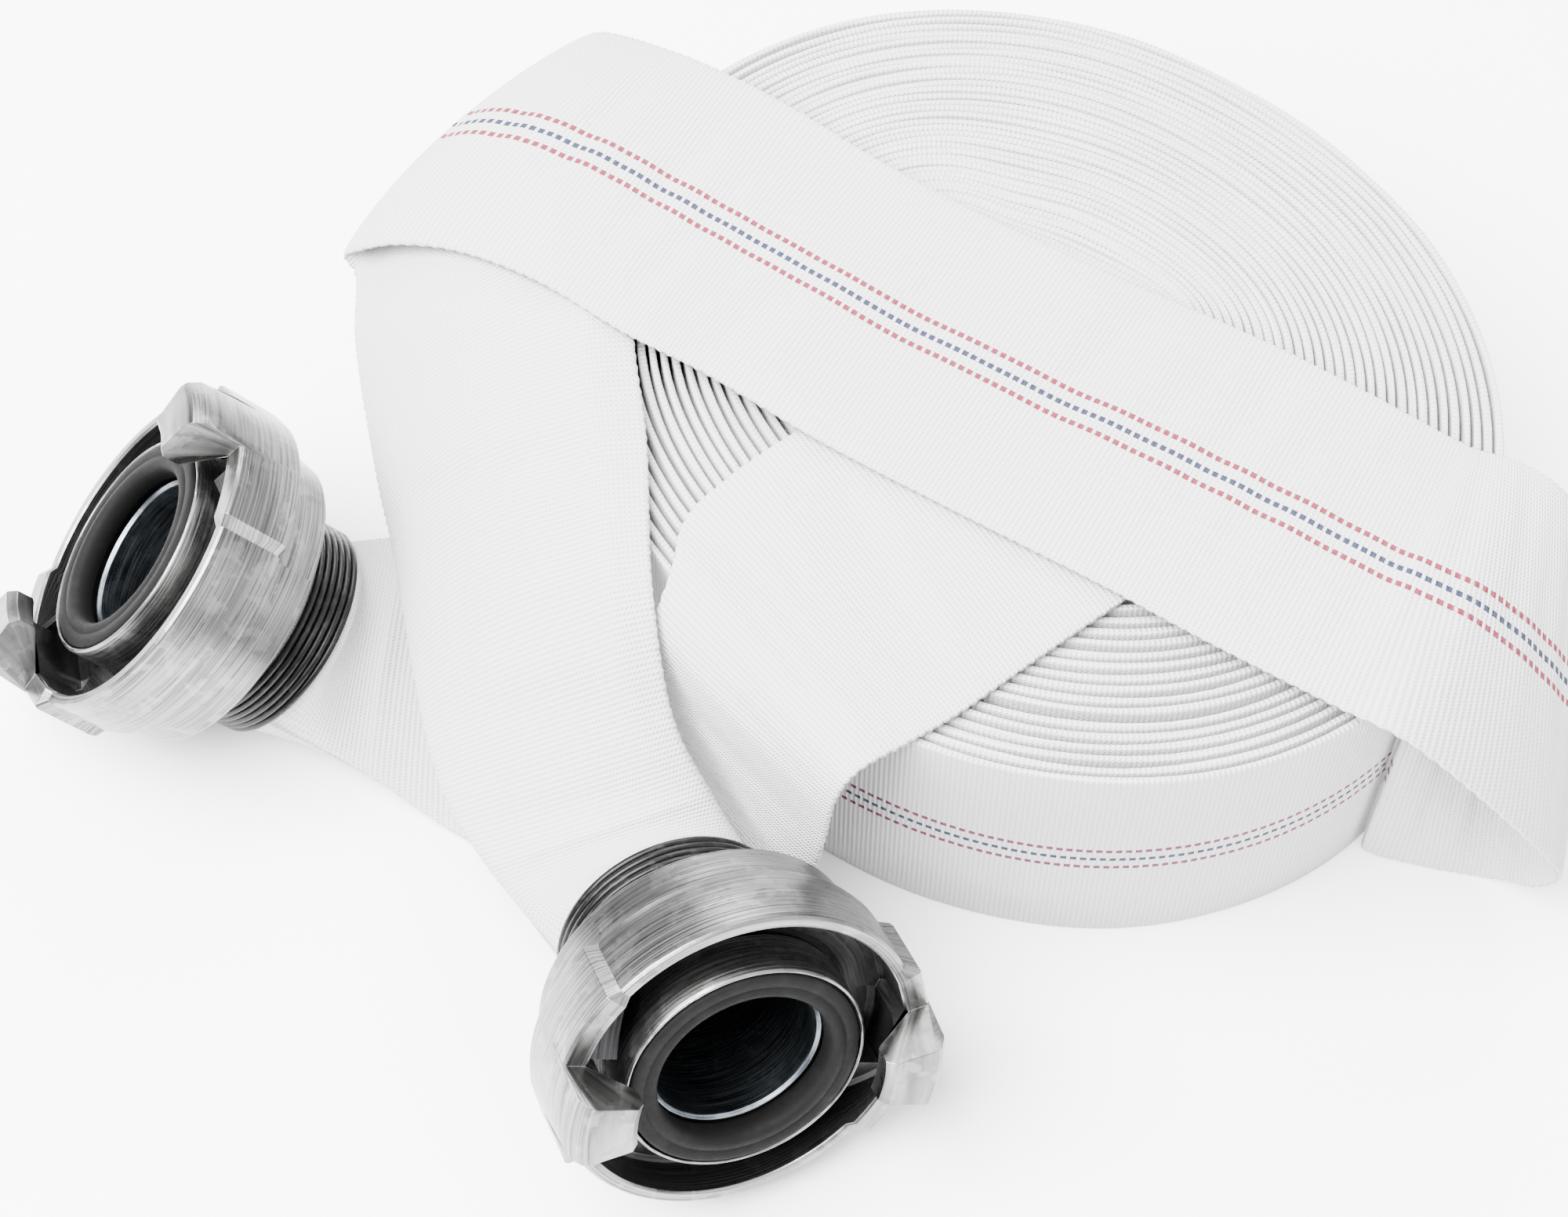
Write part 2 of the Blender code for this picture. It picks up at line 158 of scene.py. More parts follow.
def woven_hose(name, outer_tint, middle_tint):
    """White woven polyester, with three dashed stripes on the middle of the hose.

    The UV map runs along the hose in u and across it in v, both in metres, with v = 0 on its middle line."""
    made = Finish(name, Specular_IOR_Level=0.2)
    uv = made.start.node("ShaderNodeTexCoord", output="UV")
    along, across, _ = made.split(uv)
    weft, warp = along.wave(WEFT_PITCH), across.wave(WARP_PITCH)
    weave = weft * warp * 0.5 + weft * 0.5
    cloud = made.noise(38, 4)
    dirt = made.noise(9, 3).ease(0.45, 0.75)
    fibre = made.noise(900, 2)
    thread = (weave * 0.5 + 0.5).blend((0.40, 0.395, 0.405), (0.62, 0.615, 0.625))
    aged = (dirt * 0.3).blend(thread, (0.42, 0.41, 0.435))
    dashes = along.wave(DASH_PITCH) > DASH_FROM
    side = across.size()
    outer = ((side - STRIPE_OFFSET).size() < STRIPE_WIDTH / 2) * dashes
    middle = (side < STRIPE_WIDTH / 2) * ((along + DASH_PITCH / 2).wave(DASH_PITCH) > DASH_FROM)
    striped = (outer * 0.95).blend(aged, outer_tint)
    coloured = (middle * 0.95).blend(striped, middle_tint)
    height = weave + cloud * 1.2 + fibre * 0.6
    return made.set(
        Base_Color=coloured,
        Roughness=cloud * 0.15 + 0.75,
        Normal=made.bump(height, 0.7, 0.0003),
    )


def turned_metal(name, dark, light, rough):
    """Aluminium with fine turning marks along the UV map's first direction, and a cast grain under them."""
    made = Finish(name, Metallic=1.0)
    uv = made.start.node("ShaderNodeTexCoord", output="UV")
    along, across, _ = made.split(uv)
    stretched = made.start.node("ShaderNodeCombineXYZ", (), {"X": along * 26, "Y": across * 1900})
    marks = made.noise(1, 4, stretched)
    grain = made.noise(260, 5)
    scratch = made.noise(150, 6).ease(0.54, 0.62)
    base = marks.ease(0.3, 0.7).blend(dark, light)
    rubbed = (scratch * 0.3).blend(base, tuple(1.35 * c for c in light))
    return made.set(
        Base_Color=(grain.ease(0.55, 0.75) * 0.35).blend(rubbed, tuple(0.6 * c for c in dark)),
        Roughness=marks * 0.2 + (rough - 0.1) + grain * 0.12,
        Normal=made.bump(marks + grain * 0.8 + scratch * 0.3, 0.4, 0.0002),
    )


def black_rubber(name):
    """Smooth black rubber with a little dust."""
    made = Finish(name, Specular_IOR_Level=0.08)
    dust = made.noise(120, 5).ease(0.5, 0.8)
    fine = made.noise(900, 2)
    return made.set(
        Base_Color=(dust * 0.5).blend((0.004, 0.004, 0.004), (0.012, 0.012, 0.012)),
        Roughness=fine * 0.2 + 0.6,
        Normal=made.bump(fine, 0.25, 0.0002),
    )


def black_wire(name):
    """Black wire, rubbed a little brighter in places."""
    made = Finish(name, Metallic=0.7)
    rub = made.noise(300, 3).ease(0.5, 0.75)
    return made.set(
        Base_Color=(rub * 0.5).blend((0.005, 0.005, 0.005), (0.03, 0.028, 0.026)),
        Roughness=rub * 0.2 + 0.3,
        Normal=made.bump(rub, 0.3, 0.0002),
    )


RED = (0.14, 0.001, 0.016)
BLUE = (0.001, 0.007, 0.035)
# The same red stripe, darker and bluer, for the rolled hose: a painted-shade copy of RED.
PAINTED_SHADE_RED = (0.10, 0.001, 0.03)
hose_cloth = woven_hose("woven_hose", RED, BLUE)
# The rolled hose wears a copy of the hose's cloth whose outer stripes have the painted-shade red.
roll_cloth = woven_hose("woven_hose_rolled", PAINTED_SHADE_RED, BLUE)
aluminium = turned_metal("cast_aluminium", (0.075, 0.074, 0.073), (0.25, 0.248, 0.244), 0.25)
# A much darker copy of the aluminium for the recess faces of the claw ring: painted shade of the recess.
recess_aluminium_painted_shade = turned_metal("recess_aluminium_painted_shade", (0.022, 0.022, 0.023), (0.06, 0.06, 0.062), 0.4)
# A darker, bluer copy of the aluminium for the bore of the sleeve: painted shade inside the bore.
bore_aluminium_painted_shade = turned_metal("bore_aluminium_painted_shade", (0.05, 0.06, 0.07), (0.20, 0.225, 0.25), 0.25)
spring_steel = turned_metal("spring_steel", (0.1, 0.1, 0.105), (0.25, 0.25, 0.26), 0.3)
rubber = black_rubber("black_rubber")
wire = black_wire("black_wire")


# ---------------------------------------------------------------- meshes
def grid_mesh(name, points, uv, materials, closed_way=False, second=None):
    """A tube over a grid of points (rows, columns, 3): each row is a closed section.

    The rows are closed into a ring, or capped at both ends. The UV arrays have one more column than the
    points, and one more row when the rows close, so that the map has no fold at the joins. The faces in the
    columns named by second wear the second material."""
    rows, count = points.shape[:2]
    row, col = np.indices((rows if closed_way else rows - 1, count))
    grid_rows = np.stack([row, row, row + 1, row + 1], -1).ravel()
    grid_cols = np.stack([col, col + 1, col + 1, col], -1).ravel()
    faces = row.size
    starts, totals = np.arange(faces) * 4, np.full(faces, 4)
    if not closed_way:
        starts = np.concatenate([starts, [4 * faces, 4 * faces + count]])
        totals = np.concatenate([totals, [count, count]])
        columns = np.arange(count)
        grid_rows = np.concatenate([grid_rows, 0 * columns, 0 * columns + rows - 1])
        grid_cols = np.concatenate([grid_cols, columns[::-1], columns])
    loops = (grid_rows % rows) * count + grid_cols % count
    mesh = bpy.data.meshes.new(name)
    mesh.vertices.add(rows * count)
    mesh.vertices.foreach_set("co", points.reshape(-1).astype(np.float32))
    mesh.loops.add(len(loops))
    mesh.loops.foreach_set("vertex_index", loops.astype(np.int32))
    mesh.polygons.add(len(starts))
    mesh.polygons.foreach_set("loop_start", starts.astype(np.int32))
    mesh.polygons.foreach_set("loop_total", totals.astype(np.int32))
    mesh.update(calc_edges=True)
    along, across = (np.broadcast_to(part, (rows + closed_way, count + 1)) for part in uv)
    values = np.stack([along[grid_rows, grid_cols], across[grid_rows, grid_cols]], -1)
    mesh.uv_layers.new(name="UVMap").data.foreach_set("uv", values.ravel().astype(np.float32))
    for material in materials:
        mesh.materials.append(material)
    if second is not None:
        mesh.polygons.foreach_set("material_index", np.isin(col.ravel(), second).astype(np.int32))
    mesh.shade_smooth()
    obj = bpy.data.objects.new(name, mesh)
    bpy.context.collection.objects.link(obj)
    return obj


def smooth_rows(rows, steps):
    """Catmull-Rom through the rows, with the same number of steps between each two."""
    padded = np.vstack([2 * rows[0] - rows[1], rows, 2 * rows[-1] - rows[-2]])
    a, b, c, d = (padded[k : len(padded) - 3 + k, None, :] for k in range(4))
    t = (np.arange(steps) / steps)[None, :, None]
    made = 0.5 * (2 * b + (c - a) * t + (2 * a - 5 * b + 4 * c - d) * t**2 + (3 * b - a - 3 * c + d) * t**3)
    return np.vstack([made.reshape(-1, rows.shape[1]), rows[-1]])


def unit(vectors):
    """The vectors, each divided by its own length."""
    return vectors / np.linalg.norm(vectors, axis=-1, keepdims=True)


def lengths_along(points):
    """The distance along a line of points, from its first point to each."""
    steps = np.linalg.norm(np.diff(points, axis=0), axis=1)
    return np.concatenate([[0], np.cumsum(steps)])


# ---------------------------------------------------------------- couplings
FRONT_COUPLING = ((-75, -183, 52.6), -66.8, 20.8, 343)
LEFT_COUPLING = ((-239, -38, 59), 171.8, 43.6, 300)
MARK_RADIUS = 45 * MM  # at which the turning marks keep their true length
CRISP_ANGLE = math.radians(32)


class Axis:
    """The place of a coupling: its face at z = 0 looking along out, with side level and down square to both."""

    def __init__(self, coupling):
        centre, azimuth, elevation, turn = coupling
        azimuth, elevation = math.radians(azimuth), math.radians(elevation)
        level = math.cos(elevation)
        self.out = np.array([level * math.cos(azimuth), level * math.sin(azimuth), math.sin(elevation)])
        self.side = unit(np.cross(self.out, [0, 0, 1]))
        self.down = np.cross(self.out, self.side)
        self.centre = np.array(centre) * MM
        self.turn = math.radians(turn)

    def put(self, x, y, z):
        """World points from distances along side, down and out."""
        x, y, z = (np.asarray(v, float)[..., None] for v in (x, y, z))
        return self.centre + x * self.side + y * self.down + z * self.out

    def spun(self, name, angle, profiles, materials, second=None):
        """A ring through closed profiles of (radius, height), one for each angle, listed clockwise."""
        r, z = profiles[..., 0], profiles[..., 1]
        points = self.put(r * np.cos(angle[:, None]), r * np.sin(angle[:, None]), z)
        around = np.append(angle, angle[0] + 2 * math.pi)[:, None] * MARK_RADIUS
        closed = np.vstack([profiles[0], profiles[0, :1]])
        return grid_mesh(name, points, (around, lengths_along(closed)[None]), materials, True, second)

    def turned(self, name, profile, materials, second=None, segments=144):
        """One closed profile, listed anticlockwise with radius to the right, spun round the axis."""
        angle = np.linspace(0, 2 * math.pi, segments, endpoint=False)
        outline = np.array(profile)[::-1]
        return self.spun(name, angle, np.broadcast_to(outline, (segments, *outline.shape)), materials, second)


def crisp(obj, width):
    """Small round edges, with the flats kept flat."""
    bevel = obj.modifiers.new("soft_edges", "BEVEL")
    bevel.width = width
    bevel.segments = 2
    bevel.limit_method = "ANGLE"
    bevel.angle_limit = CRISP_ANGLE
    bevel.harden_normals = True
    return obj


TAIL = 25.4 * MM
TAIL_END = 55 * MM
JOURNAL = 25.8 * MM
FLANGE = 31.5 * MM
FLANGE_DEPTH = 14 * MM
RING = 46 * MM
RING_FRONT = 2.2 * MM
RING_STEP = 21 * MM
RING_BACK = 34.2 * MM
HUB = 42.6 * MM
MOUTH = 42.5 * MM
CLAW_RADIUS = 49 * MM
REACH = 13.5 * MM
HOOK = 32 * MM
CLAW_SPAN = math.radians(23)
BOSS_BEFORE = math.radians(38)  # the root of a claw starts this far before the claw's middle
BOSS_AFTER = math.radians(27)
PLAIN, BOSS, CLAW = range(3)  # the kinds of cut through the claw ring
LOCK_RADIUS = 25.9 * MM
LOCK_WIRE_RADIUS = 1.5 * MM
LOCK_PLACE = 36.2 * MM
BINDING_START = 39 * MM
BINDING_WIRE = 2.2 * MM
BINDING_TURNS = 6
CUFF_START = 38.6 * MM
GAP = 0.3 * MM


def mm(*pairs):
    """A profile of (radius, height) given in millimetres."""
    return [(r * MM, z * MM) for r, z in pairs]


SLEEVE = mm(
    (21.5, -55), (24.4, -55), (25.4, -53.5), (25.4, -49), (24.7, -48.5), (24.7, -46.5), (25.4, -46),
    (25.4, -38), (24, -38), (24, -34.4), (25.8, -34.4), (25.8, -14), (30.9, -14), (31.5, -13.4),
    (31.5, -0.9), (31.2, -0.25), (30.8, 0), (30.4, -0.25), (30.2, -0.9), (30.2, -9), (23.6, -9),
    (23.2, -7.2), (22.4, -6.8), (21.5, -7.8),
)
SEAL = mm(
    (24, -8.6), (29.9, -8.6), (29.9, -0.6), (29.6, 0.1), (28.9, 0.4), (26.6, 0.35), (26.3, 0.1), (26, 0.35),
    (24.4, 0.5), (23.5, 0.2), (22.9, -0.4), (22.5, -1.4), (22.5, -5.4), (24, -6.2),
)
LINER = mm((25.7, -55), (26.3, -55), (26.3, -38.6), (25.7, -38.6))


def ring_profile(kind, ramp):
    """A cut through the claw ring: PLAIN, BOSS where it is thicker at the root of a claw, or CLAW.

    Inside a boss, a ledge stands over the floor of the recess by the share ramp of its full height."""
    bore, floor = JOURNAL + GAP, FLANGE_DEPTH + 0.5 * MM
    outer = RING if kind == PLAIN else CLAW_RADIUS
    front = -RING_FRONT if kind == PLAIN else -RING_FRONT + 1.5 * MM
    ledge = FLANGE + 1.6 * MM
    back = [
        (bore, -RING_BACK),
        (HUB - 1.6 * MM, -RING_BACK),
        (HUB - 0.7 * MM, -RING_BACK + 0.9 * MM),
        (HUB, -RING_STEP - 1.4 * MM),
        (RING - 0.8 * MM, -RING_STEP),
        (outer - 0.5 * MM, -RING_STEP + 1 * MM),
        (outer, -RING_STEP + 2.5 * MM),
    ]
    if kind == CLAW:
        under, wall = REACH - 8 * MM, MOUTH - 3 * MM
        return back + [
            (CLAW_RADIUS, -1 * MM),
            (CLAW_RADIUS - 0.6 * MM, REACH - 4 * MM),
            (CLAW_RADIUS - 2.6 * MM, REACH - 0.8 * MM),
            (CLAW_RADIUS - 4.4 * MM, REACH),
            (HOOK + 2 * MM, REACH),
            (HOOK, REACH - 2 * MM),
            (HOOK, under + 1.3 * MM),
            (HOOK + 1.3 * MM, under),
            (wall - 1.8 * MM, under),
            (wall, under - 1.8 * MM),
            (wall, -floor + 1.5 * MM),
            (wall - 1.5 * MM, -floor),
            (ledge, -floor),
            (bore, -floor),
        ]
    shelf = -floor + 0.4 * MM + ramp * (floor - RING_FRONT - 1.4 * MM)
    return back + [
        (outer, front - 7 * MM),
        (outer, front - 4 * MM),
        (outer, front - 0.8 * MM),
        (outer - 0.7 * MM, front),
        (MOUTH + 2.1 * MM, front),
        (MOUTH + 1.6 * MM, front),
        (MOUTH + 1.1 * MM, front),
        (MOUTH + 0.6 * MM, front),
        (MOUTH, front - 0.6 * MM),
        (MOUTH, shelf + 1.2 * MM),
        (MOUTH - 1.2 * MM, shelf),
        (ledge + 0.8 * MM, shelf),
        (ledge, -floor),
        (bore, -floor),
    ]


def claw_ring(name, axis):
    """The ring and both of its claws, cut by cut round the axis."""
    before, after, half, wall = BOSS_BEFORE, BOSS_AFTER, CLAW_SPAN / 2, math.radians(1.5)
    cuts = []
    for middle in (axis.turn, axis.turn + math.pi):
        rise = before - half - wall
        cuts += [(middle - before - 2 * wall, PLAIN, 0), (middle - before, BOSS, 0)]
        cuts += [(middle - before + rise * k / 8, BOSS, k / 8) for k in range(1, 9)]
        cuts += [(middle + half * (k / 5 - 1), CLAW, 0) for k in range(11)]
        cuts += [(middle + half + wall, BOSS, 0), (middle + after, BOSS, 0)]
        gap = math.pi - before - after - 4 * wall
        cuts += [(middle + after + 2 * wall + gap * k / 40, PLAIN, 0) for k in range(40)]
    profiles = np.array([ring_profile(kind, ramp)[::-1] for _, kind, ramp in cuts])
    angle = np.array([cut[0] for cut in cuts])
    # The first five columns, the floor and walls of the recess, wear the darker aluminium, which is painted
    # shade.
    return crisp(axis.spun(name, angle, profiles, (aluminium, recess_aluminium_painted_shade), range(5)), 0.45 * MM)


def binding(name, axis):
    """Turns of wire wound side by side in one screw line, a round section carried along the line."""
    wire_radius = 1.05 * MM
    radius = ROUND_RADIUS + 0.35 * MM + wire_radius
    angle = np.linspace(0, 2 * math.pi * (BINDING_TURNS - 0.02), BINDING_TURNS * 72 + 1)[:, None]
    height = -BINDING_START - wire_radius - BINDING_WIRE * 0.98 * angle / (2 * math.pi)
    round_it = np.linspace(0, 2 * math.pi, 10, endpoint=False)[None, :]
    r = radius + wire_radius * np.cos(round_it)
    z = height - wire_radius * np.sin(round_it)
    around = np.append(round_it, [[2 * math.pi]], axis=1) * wire_radius
    points = axis.put(r * np.cos(angle), r * np.sin(angle), z)
    return grid_mesh(name, points, (angle * radius, around), (wire,))


def build_coupling(side, coupling, body):
    """All the pieces of one coupling. The claws ride on the body that turns, the rest on the hose."""
    axis = Axis(coupling)
    lock_angle = np.linspace(0, 2 * math.pi, 16, endpoint=False)
    lock_r = LOCK_RADIUS + LOCK_WIRE_RADIUS * np.cos(lock_angle)
    lock_z = -LOCK_PLACE + LOCK_WIRE_RADIUS * np.sin(lock_angle)
    lock = list(zip(lock_r, lock_z))
    # The bore wall and its front lip wear the darker, bluer aluminium, which is painted shade.
    tail = axis.turned(side + "_tail_and_flange", SLEEVE, (aluminium, bore_aluminium_painted_shade), (0, len(SLEEVE) - 1))
    pieces = [
        (tail, side + "_coupling_sleeve", "coupling_aluminium"),
        (axis.turned(side + "_lip_seal", SEAL, (rubber,)), side + "_face_seal", "seal_rubber"),
        (axis.turned(side + "_liner", LINER, (rubber,)), side + "_hose_liner", "seal_rubber"),
        (axis.turned(side + "_snap_ring", lock, (spring_steel,)), side + "_lock_ring", "spring_steel"),
        (binding(side + "_binding", axis), side + "_wire_binding", "black_wire"),
    ]
    for piece, node, material_slot in pieces:
        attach(piece, "hose")
        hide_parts(node)
    ring = claw_ring(side + "_claws", axis)
    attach(ring, body)
    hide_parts(side + "_claw_ring")
    crisp(tail, 0.25 * MM)
    return axis, [piece for piece, _, _ in pieces] + [ring]


# ---------------------------------------------------------------- free ends
FRONT_ROUTE = (
    ((89.5, -98.5, 1.5), (92, -96.5, 83.5), 0, 0),
    ((95, -101, 1.5), (98, -92, 82.5), 0, 0),
    ((108, -104.5, 1.5), (109, -80, 78), 0, 0),
    ((120, -107, 1.5), (121, -66, 75), 0, 0),
    ((126, -111, 7), (130, -54, 71), 0, 0),
    ((130, -118, 18), (135, -46, 73), 0, 0),
    ((133.5, -122, 31), (139, -46, 83), 0, 0),
    ((127, -123, 46), (131, -41, 92), 0, -1),
    ((106, -119, 72), (121, -34, 93), 0, -3),
    ((86, -112, 88.5), (112, -30, 92), 0, -1.5),
    ((68, -103, 91), (106, -26, 91), 0, 0),
    ((38, -85, 91), (81, -9, 91), 0, 0),
    ((13, -69, 91), (55, 7, 91), 0, 0),
    ((-22, -48, 91), (22, 25, 91), 0, 0),
    ((-56, -27, 91), (-14, 46, 91), 0, 0),
    ((-86, -6, 91), (-40, 63, 91.5), 0, 0),
    ((-108, 7, 91.5), (-66, 82, 92.5), 0, 0),
    ((-130, 23, 91), (-87, 94, 94), 0, -1),
    ((-152, 38, 84), (-102, 101, 94), 0, -4),
    ((-171, 48, 74), (-110, 104, 94), 0, -6),
    ((-184, 53, 64), (-116, 106, 93), 0, -6),
    ((-187.5, 54, 59.5), (-118.5, 107, 89.5), 0, -5),
    ((-184.5, 50, 55), (-115, 101, 86.2), 0, 4),
    ((-183.5, 29, 51), (-110, 62, 86.8), 0, 11),
    ((-176, -9, 45), (-105, 6, 88), 0, 14),
    ((-170.5, -31, 41), (-101, -26, 89.5), 0, 13.5),
    ((-163, -68, 37), (-99, -66, 85.5), 0.02, 9),
    ((-155, -97, 34), (-94, -93, 67), 0.1, 4),
    ((-142, -119, 32), (-84, -108, 52), 0.35, 0),
)
LEFT_ROUTE = (
    ((43, -54, 87), (-3, 18, 87), 0, 0),
    ((0, -86, 87), (-48, -11, 87), 0, 0),
    ((-22, -103, 87), (-72, -28, 87), 0, 0),
    ((-36, -112, 87), (-90, -46, 87), 0, 0),
    ((-47, -119, 87), (-94, -62, 86.8), 0, 0),
    ((-53, -123, 79), (-99, -72, 76), 0, 0),
    ((-56, -125, 58), (-103, -74, 54), 0, 0),
    ((-61, -126, 28), (-111, -68, 38), 0, 0),
    ((-74, -128, 8), (-123, -59, 31), 0, 0),
    ((-98, -124, 2.5), (-128, -50, 27), 0, 0),
    ((-126, -110, 2.5), (-139, -34, 30), 0, 0),
    ((-154, -95, 2.5), (-153, -24, 35), 0, 0),
    ((-177, -81, 8), (-168, -20, 33), 0.25, 0),
)
HOSE_STEPS = 30
EDGE_PITCH = 3.2 * MM  # of the weft loops along the hose's edges
HOSE_AROUND = 72
TAIL_ROWS = 9
CREASE_HEIGHT = 0.6 * MM
GATHER_HEIGHT = 2.2 * MM


def soft_noise(rows, count, size, seed):
    """Smooth random waves over a grid: a sum of a few sines with random phases, longest about size rows."""
    made = np.zeros((rows, count))
    pick = np.random.default_rng(seed)
    row, col = np.arange(rows)[:, None], np.arange(count)[None, :]
    for octave in range(5):
        k, m = pick.uniform(0.5, 1.5) * (octave + 1) / size, pick.integers(1, 4)
        phase = 2 * math.pi * (row * k + pick.uniform()) + m * 2 * math.pi * col / count
        made += np.sin(phase) / (octave + 1.5)
    return made


def free_end(name, node, route, axis, sign, striped, ridge, seed):
    """The hose from the roll to a coupling: a flat oval that opens into a circle, carried along the route.

    Across the hose, u is the cosine of the angle round the section. The height above its middle sheet is
    half the flat thickness times the fourth root of (1 - u^8), mixed with the circle by how open the hose is,
    plus the arch times (1 - u^2). The stripes are on one face only: on the side of the normals when striped
    is 1, and under them when it is -1. Soft creases, gathers before the tail and one fold line along the leg
    lie on top, and the edges have small loops of weft. On the tail the section closes inwards, and that inner
    wall wears rubber: it is the hose's lining."""
    rows = []
    for first, second, opening, arch in route:
        first, second = np.array(first) * MM, np.array(second) * MM
        rows.append([*((first + second) / 2), *((second - first) / 2), opening, arch * MM])
    outside = axis.side * ROUND_RADIUS * sign
    tail_end = axis.centre - axis.out * (TAIL_END + 1 * MM)
    rows.append([*tail_end, *outside, 1, 0])
    cuts = smooth_rows(np.array(rows), HOSE_STEPS)
    ways = np.gradient(cuts[:, :3], axis=0)
    normals = unit(np.cross(ways, cuts[:, 3:6]))
    last = HOSE_STEPS + 1
    share = (np.arange(1, last) / HOSE_STEPS)[:, None]
    normals[-last + 1 :] = unit(normals[-last] * (1 - share) + axis.down * sign * share)
    cuts[-last + 1 :, 6] -= (0.6 * share * (1 - share))[:, 0]
    behind = np.linspace(TAIL_END, CUFF_START, TAIL_ROWS)
    tail = np.hstack([axis.centre - axis.out * behind[:, None], np.tile([*outside, 1, 0], (TAIL_ROWS, 1))])
    cuts = np.vstack([cuts, tail])
    normals = np.vstack([normals, np.tile(axis.down * sign, (TAIL_ROWS, 1))])
    opening, arch = np.clip(cuts[:, 6:7], 0, 1), cuts[:, 7:8]
    angle = np.linspace(0, 2 * math.pi, HOSE_AROUND, endpoint=False)[None, :]
    u, v = np.cos(angle), np.sin(angle)
    flat = np.sign(np.round(v, 9)) * FLAT_THICKNESS / 2 * (1 - np.abs(u) ** 8) ** 0.25
    creases = soft_noise(len(cuts), HOSE_AROUND, 80, seed) * CREASE_HEIGHT * (1 - u**2) * (1 - opening)
    gathers = GATHER_HEIGHT * opening * (1 - opening) * np.sin(5 * angle + 0.7)
    place = np.linspace(0, 1, len(cuts))[:, None]
    leg = np.clip((place - 0.72) / 0.06, 0, 1) * np.clip((0.97 - place) / 0.06, 0, 1)
    fold_line = ridge * np.exp(-(((u - 0.72 - 0.06 * np.sin(9 * place)) / 0.13) ** 2)) * leg
    lift = flat * (1 - opening) + ROUND_RADIUS * opening * v + arch * (1 - u * u)
    lift = lift + creases + gathers + fold_line
    loops = 0.005 * np.sin(2 * math.pi * lengths_along(cuts[:, :3]) / EDGE_PITCH)[:, None]
    edged = u * (1 + loops * np.abs(u) ** 12 * (1 - opening))
    points = cuts[:, None, :3] + edged[..., None] * cuts[:, None, 3:6] + lift[..., None] * normals[:, None, :]
    inner = (TAIL + 1.2 * MM) / ROUND_RADIUS
    for depth in (CUFF_START, TAIL_END + 0.3 * MM):
        centre = axis.centre - axis.out * depth
        ring = centre + inner * (u[..., None] * outside + v[..., None] * axis.down * sign * ROUND_RADIUS)
        points = np.concatenate([points, ring])
    middle_line = np.vstack([cuts[:, :3], axis.centre - axis.out * CUFF_START, tail[:1, :3]])
    along = lengths_along(middle_line)[:, None]
    width = np.linalg.norm(points[:, 0] - points[:, HOSE_AROUND // 2], axis=1)[:, None] / 2
    half = HOSE_WIDTH / 2
    part = np.linspace(0, 1, HOSE_AROUND + 1)[None, :] * 2
    face = np.cos(part * math.pi) * np.clip(width, 0, half) * (1 + 0.55 * np.clip(1 - width / half, 0, 1))
    plain_face = part > 1 if striped > 0 else part < 1
    across = np.where(plain_face, 2 * half - face, face)
    obj = grid_mesh(name, points, (along, across), (hose_cloth, rubber))
    lining = np.zeros(len(obj.data.polygons), dtype=np.int32)
    lining[-2 * HOSE_AROUND - 2 :] = 1  # the turned-in end on the tail, and the cap behind it
    lining[-2] = 0  # the cap where the hose comes out of the roll
    obj.data.polygons.foreach_set("material_index", lining)
    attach(obj, "hose")
    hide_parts(node)
    return obj, cuts[:, :3]


# ---------------------------------------------------------------- roll
ROLL_RADIUS = 121.5 * MM
ROLL_OVAL = 0.075
ROLL_TURN = math.radians(-43)
LAYERS = 36
FOLD_BEFORE = 0.333  # half turns that are missing at the core, where the hose is folded
LEAVES_AT = math.radians(-46)  # where the outer end of the hose leaves the roll
CORE_CENTRE = np.array([6, 38]) * MM
CORE_TURN = math.radians(153)
CORE_HALF = np.array([31, 0.9]) * MM
LAYER_PITCH = 2.95 * MM  # between layers, where there is room for it
FIRST_DEPTH = 1.35 * MM
BACK_SLACK = math.radians(140)  # where the outer layers lie loosest
FRONT_SLACK = math.radians(-95)  # where the layers from the sixth on do
DENT_AT = math.radians(88)
HALF_LAYER = 0.98 * MM


def near(azimuth, middle, width):
    """1 at the middle azimuth, falling away on both sides as a bell curve of this width."""
    return np.exp(-((((azimuth - middle + math.pi) % (2 * math.pi) - math.pi) / width) ** 2))


def outer_radius(azimuth):
    """The oval of the roll: its radius swells by a cosine of twice the azimuth."""
    return ROLL_RADIUS * (1 + ROLL_OVAL * np.cos(2 * (azimuth - ROLL_TURN)))


